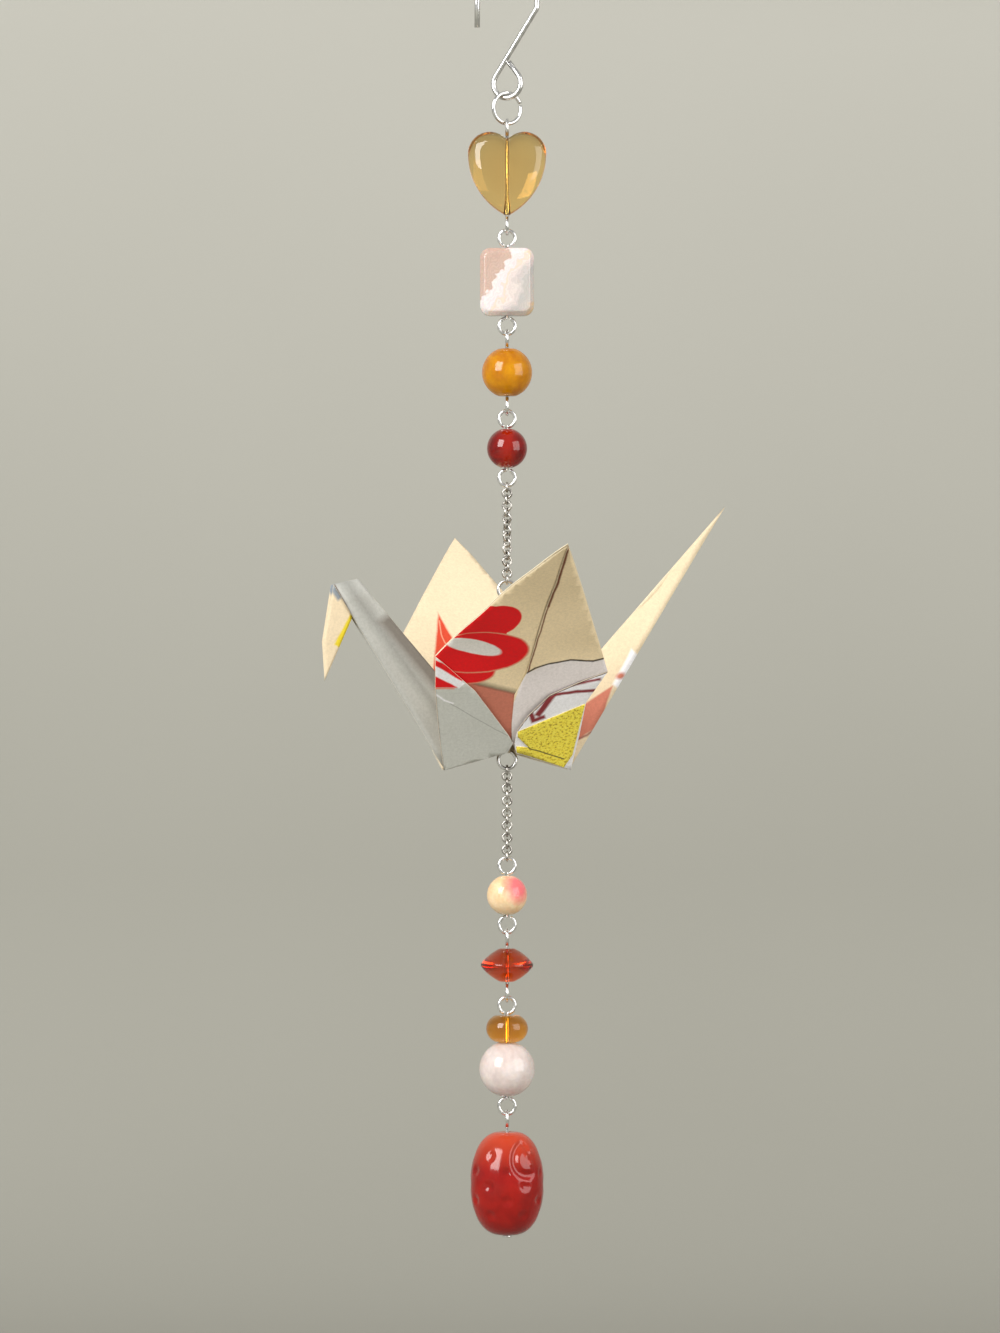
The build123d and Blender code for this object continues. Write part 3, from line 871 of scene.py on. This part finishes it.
# Masks on page places: an oval, the left side of a line, a patch of such sides, and a stroke
def ovalMask(material, page, centre, half, turn=0.0, soft=0.12):
    inputs = {
        "Vector": page, "Location": (*centre, 0), "Rotation": (0, 0, radians(turn)), "Scale": (*half, 1),
    }
    local = addNode(material, "ShaderNodeMapping", inputs, vector_type="TEXTURE")
    reach = addNode(material, "ShaderNodeVectorMath", {0: local}, output=1, operation="LENGTH")
    softness = soft / min(half)
    return spread(material, reach, 1 - softness, 1 + softness, 1.0, 0.0)


def sideMask(material, page, start, end, soft=0.12):
    run = Vector(end) - Vector(start)
    normal = Vector((-run.y, run.x)).normalized()
    inputs = {0: page, 1: (*normal, 0)}
    along = addNode(material, "ShaderNodeVectorMath", inputs, output=1, operation="DOT_PRODUCT")
    offset = normal.dot(Vector(start))
    return spread(material, along, offset - soft, offset + soft)


def patchMask(material, page, corners, soft=0.12):
    mask = None
    for start, end in zip(corners, corners[1:] + corners[:1]):
        inside = sideMask(material, page, start, end, soft)
        mask = inside if mask is None else sums(material, "MINIMUM", mask, inside)
    return mask


def strokeMask(material, page, points, width, soft=0.08):
    mask = None
    for start, end in zip(points, points[1:]):
        run = Vector(end) - Vector(start)
        half = (run.length / 2 + width / 2, width / 2)
        middle = (Vector(start) + Vector(end)) / 2
        across = Vector((-run.y, run.x)).normalized() * half[1]
        along = run.normalized() * half[0]
        corners = [middle - along - across, middle + along - across, middle + along + across, middle - along + across]
        part = patchMask(material, page, [tuple(corner) for corner in corners], soft)
        mask = part if mask is None else sums(material, "MAXIMUM", mask, part)
    return mask


ink = {
    "cream": screenColour(232, 213, 180),
    "tan": screenColour(246, 224, 184),
    "red": screenColour(232, 18, 24),
    "redOrange": screenColour(216, 74, 46),
    "whiteInShade": screenColour(236, 228, 226),
    "shadeGreyBrown": screenColour(128, 122, 114),
    "seam": screenColour(112, 62, 36),
    "edge": screenColour(74, 52, 46),
    "shadowBlueGrey": screenColour(140, 148, 156),
    "line": screenColour(226, 150, 120),
    "pale": screenColour(236, 232, 226),
    "white": screenColour(250, 249, 252),
    "grey": screenColour(204, 205, 198),
    "greyDark": screenColour(150, 150, 144),
    "neckGrey": screenColour(184, 184, 178),
    "brown": screenColour(204, 124, 102),
    "wine": screenColour(140, 52, 56),
    "darkLineAndShadow": screenColour(58, 50, 38),
    "gold": screenColour(232, 208, 48),
}

paperCore = newMaterial("crane_paper_core")
paperSurface(paperCore, None, screenColour(240, 228, 200))


# Paints shapes over a ground colour, in order
def printedPaper(name, ground, shapes, waver=0.5):
    material = newMaterial(name, Specular_IOR_Level=0.3)
    page = pageCoordinates(material, waver)
    colour = ink[ground]
    for kind, colourName, facts in shapes:
        colour = mixColour(material, kind(material, page, *facts), colour, ink[colourName])
    return paperSurface(material, page, colour)


leftPagePaper = printedPaper("crane_left_page_paper", "tan", [
    # Painted shadow: a soft dark band just below the edge of the tan layer, above the brown patch
    (sideMask, "darkLineAndShadow", [(-1.0, 20.2), (-12.0, 23.9), 0.9]),
    (sideMask, "brown", [(-1.0, 19.6), (-12.0, 23.1), 0.35]),
    (ovalMask, "line", [(-11.6, 25.9), (5.2, 3.4), 0]),
    (ovalMask, "red", [(-11.7, 25.9), (5.0, 3.15), 0]),
    (ovalMask, "red", [(-9.2, 40.4), (5.5, 4.5), 35]),
    (patchMask, "red", [[(-17.0, 36.2), (-6.0, 36.6), (-8.0, 44.8), (-12.5, 45.6)]]),
    (ovalMask, "line", [(-10.6, 31.3), (9.9, 5.9), 4]),
    (ovalMask, "red", [(-10.8, 31.3), (9.8, 5.65), 4]),
    (ovalMask, "pale", [(-12.0, 32.7), (5.9, 2.0), -16]),
])
whiteField = [(-0.6, 25.3), (-3.0, 6.0), (18.0, 3.0), (18.0, 28.6), (12.6, 28.8), (8.0, 29.0), (3.7, 27.9)]
fieldLine = [(-0.6, 25.3), (1.2, 26.8), (3.7, 27.9), (8.0, 29.0), (12.6, 28.8), (16.6, 30.2)]
rightPagePaper = printedPaper("crane_right_page_paper", "tan", [
    # The white field on this page is painted greyer and pinker than the white on the flaps: painted shade on the white
    # print
    (patchMask, "whiteInShade", [whiteField, 0.1]),
    (patchMask, "whiteInShade", [[(12.6, 28.6), (18.0, 28.4), (18.0, 30.6)], 0.1]),
    (strokeMask, "darkLineAndShadow", [fieldLine, 0.42, 0.12]),
    (strokeMask, "seam", [[(0.3, 66.0), (0.7, 60.0), (0.9, 52.0), (0.7, 45.0)], 0.5, 0.15]),
    (strokeMask, "seam", [[(0.7, 45.0), (0.5, 38.0), (0.0, 26.0)], 0.3, 0.12]),
])
petal = [(-11.3, 25.0), (-3.0, 25.0), (-7.6, 42.0)]
farPagePaper = printedPaper("crane_inner_page_paper", "cream", [
    (patchMask, "redOrange", [petal, 0.25]),
    (strokeMask, "line", [[(-7.7, 40.0), (-7.9, 36.0), (-7.2, 31.0)], 0.3]),
])
creamPaper = printedPaper("crane_cream_paper", "cream", [])
leftFlapPaper = printedPaper("crane_left_flap_paper", "grey", [
    (patchMask, "red", [[(-20.0, 21.6), (-13.6, 21.9), (-12.4, 25.0), (-20.0, 30.0)], 0.15]),
    (patchMask, "white", [[(-20.0, 25.8), (-13.2, 21.8), (-12.2, 23.2), (-20.0, 28.4)], 0.15]),
    (patchMask, "line", [[(-20.0, 21.2), (-14.0, 21.5), (-14.0, 21.75), (-20.0, 21.6)], 0.08]),
    (strokeMask, "white", [[(-17.5, 20.0), (-15.6, 18.5), (-13.8, 17.8)], 0.35, 0.15]),
    (strokeMask, "greyDark", [[(-14.2, 17.6), (-1.6, 9.4)], 0.12, 0.1]),
    # painted shadow: a dark line along the flap's left edge, where it meets the neck
    (strokeMask, "edge", [[(-18.0, 20.9), (-15.8, 10.8), (-13.2, -0.5)], 0.45, 0.25]),
])
rightFlapPaper = printedPaper("crane_right_flap_paper", "white", [
    (strokeMask, "wine", [[(14.4, 24.2), (9.5, 23.0)], 0.7, 0.25]),
    (strokeMask, "wine", [[(15.0, 21.3), (10.4, 21.1), (6.4, 20.4), (5.0, 19.3)], 0.8, 0.2]),
    (strokeMask, "wine", [[(5.3, 19.3), (3.7, 15.4)], 1.4, 0.25]),
    (strokeMask, "wine", [[(2.0, 15.6), (2.9, 13.6), (4.7, 14.4)], 1.0, 0.25]),
    (patchMask, "cream", [[(0.3, 5.6), (10.8, 0.6), (12.2, 4.2), (20.0, 4.2), (20.0, -4.0), (0.0, -4.0)], 0.1]),
    (strokeMask, "edge", [[(0.1, 10.9), (1.7, 14.9), (5.2, 20.1), (10.8, 23.5), (15.8, 26.1)], 0.3, 0.1]),
])
# The neck's darker band along its middle and its grey-brown band on the right are painted shade; its dark line where it
# meets the beak is a painted crease shadow
neckPaper = printedPaper("crane_neck_paper", "neckGrey", [
    (strokeMask, "greyDark", [[(-10.0, 6.0), (-32.5, 36.5)], 1.6, 1.2]),
    (strokeMask, "shadeGreyBrown", [[(-23.4, 28.6), (-14.6, 18.0)], 3.6, 0.9]),
    # painted crease shadow where the neck meets the beak
    (strokeMask, "edge", [[(-35.4, 36.3), (-31.2, 29.2)], 0.5, 0.2]),
])
headPaper = printedPaper("crane_head_paper", "cream", [
    (strokeMask, "gold", [[(-31.0, 30.5), (-34.2, 24.6)], 1.2, 0.2]),
    # painted shade: blue-grey on the inner side of the head
    (patchMask, "shadowBlueGrey", [[(-37.4, 31.2), (-34.4, 33.0), (-31.4, 29.0), (-29.0, 38.0), (-37.4, 38.0)], 0.3]),
])
tailPaper = printedPaper("crane_tail_paper", "cream", [
    (patchMask, "brown", [[(10.0, 2.6), (18.6, 8.4), (21.4, 16.4), (11.0, 9.6)], 0.2]),
    (patchMask, "white", [[(21.4, 16.6), (23.6, 14.6), (27.0, 21.8), (25.2, 23.6)], 0.3]),
    (ovalMask, "brown", [(22.9, 18.2), (0.9, 0.6), 20, 0.3]),
    (strokeMask, "wine", [[(12.8, 5.0), (16.2, 6.4), (18.6, 8.4)], 0.3, 0.2]),
])

# The gold field: metallic flecks over a bright ground
goldPaper = newMaterial("crane_gold_paper", Specular_IOR_Level=0.6)
page = pageCoordinates(goldPaper, 0.3)
fleck = cloudNoise(goldPaper, page, 1.9, 3.0, 0.7)
glitter = ramp(goldPaper, fleck, [
    (0.38, screenColour(170, 140, 30)), (0.46, screenColour(246, 224, 62)), (0.62, screenColour(255, 242, 100)),
])
goldInner = strokeMask(goldPaper, page, [(0.6, 8.6), (3.5, 5.9), (10.8, 3.1)], 0.25)
glitter = mixColour(goldPaper, goldInner, glitter, ink["darkLineAndShadow"])
setColour(goldPaper, glitter)
plug(goldPaper, shader(goldPaper).inputs["Metallic"], spread(goldPaper, fleck, 0.45, 0.6, 0.0, 0.2))
plug(goldPaper, shader(goldPaper).inputs["Roughness"], spread(goldPaper, fleck, 0.3, 0.7, 0.55, 0.3))
bump(goldPaper, fleck, 0.35, 0.05 * mm)

# Wings: an inner page each side, its two outer halves with their seam, and the lower flaps
tipUp = crane["tip"]
rightEdge = [(0.9, 4.6), (12.7, 0.0), (13.0, 9.4), (12.9, 18.1), (15.9, 26.2)]
leftEdge = [(-19.0, 30.0), (-17.8, 21.5), (-15.6, 10.8), (-13.0, 0.0), (-0.9, 4.6)]
slit = (0.0, 7.4)
wholePage = rightEdge + [(0.0, tipUp)] + leftEdge + [slit]
rightSeam = [(0.2, tipUp - 0.9), (0.6, 52.0), (0.2, 38.0), (-0.2, 25.4), (-1.7, 19.6), (-1.1, 12.0), (-0.4, 7.6)]
rightPage = rightEdge + rightSeam
leftPage = leftEdge + [(-0.1, 7.4), (-0.1, 38.0), (0.3, 52.0), (0.0, tipUp - 0.9)]
rightFlap = rightEdge + [(10.8, 23.6), (5.2, 20.2), (1.7, 15.0), (0.1, 11.0), (0.1, 7.4)]
leftFlap = leftEdge + [(-0.2, 7.4), (-1.4, 9.5), (-9.9, 21.2)]
goldPatch = [
    (0.9, 4.9), (11.2, 0.8), (12.4, 4.2), (12.75, 17.8), (0.15, 10.8), (0.4, 9.3), (3.1, 6.3), (0.5, 6.7),
]
leaves = [
    ("inner_page", wholePage, 0.08, farPagePaper), ("left_page", leftPage, 0.24, leftPagePaper),
    ("right_page", rightPage, 0.40, rightPagePaper), ("left_flap", leftFlap, 0.56, leftFlapPaper),
    ("right_flap", rightFlap, 0.56, rightFlapPaper), ("gold_patch", goldPatch, 0.72, goldPaper),
]


# The flaps' free upper edges stand off a little
def flapLift(x, up):
    free = min(max((up - 2.0 - 0.55 * abs(x)) / 12.0, 0.0), 1.0)
    return 0.75 * free * max(1 - abs(x) / crane["cornerX"], 0.0)


for side, sideName in ((-1, "near"), (1, "far")):
    for leafName, outline, out, face in leaves:
        lift = flapLift if out > 0.5 else None
        pageSheet(f"crane_{sideName}_{leafName}", outline, out, side, face, lift)
print("crane pages made")

# Body, neck, head and tail: panels between the two pages
ridgeUp, ridgeRightX, ridgeLeftX = 14.64, 12.7, -15.9
gusset = (8.8, 0.0, 12.8)
seat = (1.3, 0.0, 3.5)
apex = Vector((0, 0, crane["apexHeight"]))


def craneSide(point, direction):
    return (point[0] * direction, point[1], point[2])


ridgeRight = pageToCrane(ridgeRightX, ridgeUp, 0, 1)
ridgeLeft = pageToCrane(ridgeLeftX, ridgeUp, 0, 1)
footPoint = pageToCrane(crane["foot"], 0, 0, 1)


# A fold line that runs from the apex is cut short of it, so the pin's hole stays open
def belowApex(point):
    start = Vector(point)
    share = crane["holeDrop"] / (apex.z - start.z)
    return tuple(apex + (start - apex) * share)


for side, sideName in ((-1, "near"), (1, "far")):
    hump = [[belowApex(ridgeLeft), ridgeLeft, ridgeRight, belowApex(ridgeRight)]]
    for direction, edge in ((1, ridgeRight), (-1, ridgeLeft)):
        tuck, low, feet = (craneSide(point, direction) for point in (gusset, seat, footPoint))
        hump += [[belowApex(edge), edge, tuck, belowApex(tuck)], [edge, low, tuck], [edge, feet, low]]
    panelSheet(f"crane_{sideName}_body", hump, creamPaper, 5, side, 0.25)

neck = {
    "bend": (-35.28, 1.3, 36.14), "spine": (-30.18, 0.0, 37.39), "jaw": (-31.5, 0.7, 29.5),
    "beak": (-36.8, 0.0, 17.3), "brow": (-37.2, 0.7, 25.0),
    "tailMiddle": (28.35, 1.3, 25.98), "tailTip": (44.70, 0.0, 51.96),
}
headOutline = [neck[name] for name in ("bend", "brow", "beak", "jaw", "spine")]
leftFoot, leftSeat = craneSide(footPoint, -1), craneSide(seat, -1)
for side, sideName in ((-1, "near"), (1, "far")):
    neckPanels = [[leftFoot, neck["bend"], leftSeat], [neck["bend"], neck["spine"], leftSeat]]
    panelSheet(f"crane_{sideName}_neck", neckPanels, neckPaper, 9, side, 0.5)
    panelSheet(f"crane_{sideName}_head", [headOutline], headPaper, 7, side, 0.2)
    tailPanels = [[footPoint, neck["tailMiddle"], seat], [neck["tailMiddle"], neck["tailTip"], seat]]
    panelSheet(f"crane_{sideName}_tail", tailPanels, tailPaper, 9, side, 0.5)
print("crane body, neck, head and tail made")

# Stage: a pale floor that curves up into the backdrop
stage = {
    "floor": -0.315,
    "back": 0.42,
    "front": -0.9,
    "top": 0.9,
    "half": 1.6,
    "bend": 0.12,
}
stageMesh = bmesh.new()
stageMesh.verts.new((-stage["half"], stage["front"], stage["floor"]))
stageMesh.verts.new((stage["half"], stage["front"], stage["floor"]))
stageMesh.verts.ensure_lookup_table()
rail = [stageMesh.edges.new(stageMesh.verts)]


def pushRail(edges, move):
    made = bmesh.ops.extrude_edge_only(stageMesh, edges=edges)["geom"]
    moved = [item for item in made if isinstance(item, bmesh.types.BMVert)]
    bmesh.ops.translate(stageMesh, vec=move, verts=moved)
    return [item for item in made if isinstance(item, bmesh.types.BMEdge) and all(vert in moved for vert in item.verts)]


rail = pushRail(rail, (0, stage["back"] - stage["bend"] - stage["front"], 0))
bendGeom = bmesh.ops.spin(
    stageMesh, geom=[vert for edge in rail for vert in edge.verts] + rail,
    cent=(0, stage["back"] - stage["bend"], stage["floor"] + stage["bend"]), axis=(1, 0, 0),
    angle=pi / 2, steps=16, use_merge=False,
)["geom_last"]
rail = [item for item in bendGeom if isinstance(item, bmesh.types.BMEdge)]
pushRail(rail, (0, 0, stage["top"]))
bmesh.ops.recalc_face_normals(stageMesh, faces=stageMesh.faces)
stageData = bpy.data.meshes.new("pale_floor_and_backdrop")
stageMesh.to_mesh(stageData)
stageMesh.free()
stageData.shade_smooth()
backdrop = bpy.data.objects.new("pale_floor_and_backdrop", stageData)
bpy.context.scene.collection.objects.link(backdrop)
wall = newMaterial("pale_wall_paint", Roughness=0.9)
wallPlace = objectPlace(wall)
mottle = cloudNoise(wall, wallPlace, 2.2, 3.0, 0.5)
wallHeight = addNode(wall, "ShaderNodeSeparateXYZ", {"Vector": wallPlace}, output=2)
# Painted shade: the wall is painted darker towards the floor
shade = spread(wall, wallHeight, stage["floor"], 0.05)
shade = sums(wall, "ADD", shade, spread(wall, mottle, 0.3, 0.7, -0.15, 0.15))
wallColour = ramp(wall, shade, [(0.0, screenColour(150, 149, 140)), (1.0, screenColour(177, 176, 168))])
setColour(wall, wallColour)
stageData.materials.append(wall)

# Camera: square on to the strand, at the height of the crane's wings
view = {"distance": 1.0, "aside": -1.4 * mm, "above": 20.1 * mm, "seen": 0.264, "sensor": 36.0}
camera = bpy.data.cameras.new("front_camera")
camera.sensor_width = view["sensor"]
camera.lens = view["sensor"] * view["distance"] / view["seen"]
camera.clip_start = 0.05
camera.clip_end = 10.0
cameraObject = bpy.data.objects.new("front_camera", camera)
cameraObject.location = (view["aside"], -view["distance"], craneBase.z + view["above"])
cameraObject.rotation_euler = (pi / 2, 0, 0)
bpy.context.scene.collection.objects.link(cameraObject)
bpy.context.scene.camera = cameraObject


def softLight(name, place, size, power, colour):
    lamp = bpy.data.lights.new(name, "AREA")
    lamp.shape = "RECTANGLE"
    lamp.size, lamp.size_y = size
    lamp.energy = power
    lamp.color = colour
    holder = bpy.data.objects.new(name, lamp)
    holder.location = place
    aim = Vector((0, 0, craneBase.z)) - Vector(place)
    holder.rotation_euler = aim.to_track_quat("-Z", "Y").to_euler()
    bpy.context.scene.collection.objects.link(holder)


lights = {
    "window": ((-0.75, -0.85, 0.45), (0.7, 0.9), 19.0, (1.0, 0.99, 0.97)),
    "room": ((0.9, -0.6, 0.1), (0.8, 1.0), 8.5, (1.0, 0.98, 0.95)),
    "bounce": ((-0.1, -0.9, -0.75), (1.2, 0.6), 8.0, (1.0, 0.98, 0.95)),
}
for lightName, facts in lights.items():
    softLight(lightName + "_light", *facts)

world = bpy.data.worlds.new("soft_room")
world.use_nodes = True
world.node_tree.nodes["Background"].inputs["Color"].default_value = (1.0, 0.99, 0.97, 1.0)
world.node_tree.nodes["Background"].inputs["Strength"].default_value = 0.45
bpy.context.scene.world = world
bpy.context.scene.view_settings.view_transform = "Standard"

print("scene finished")
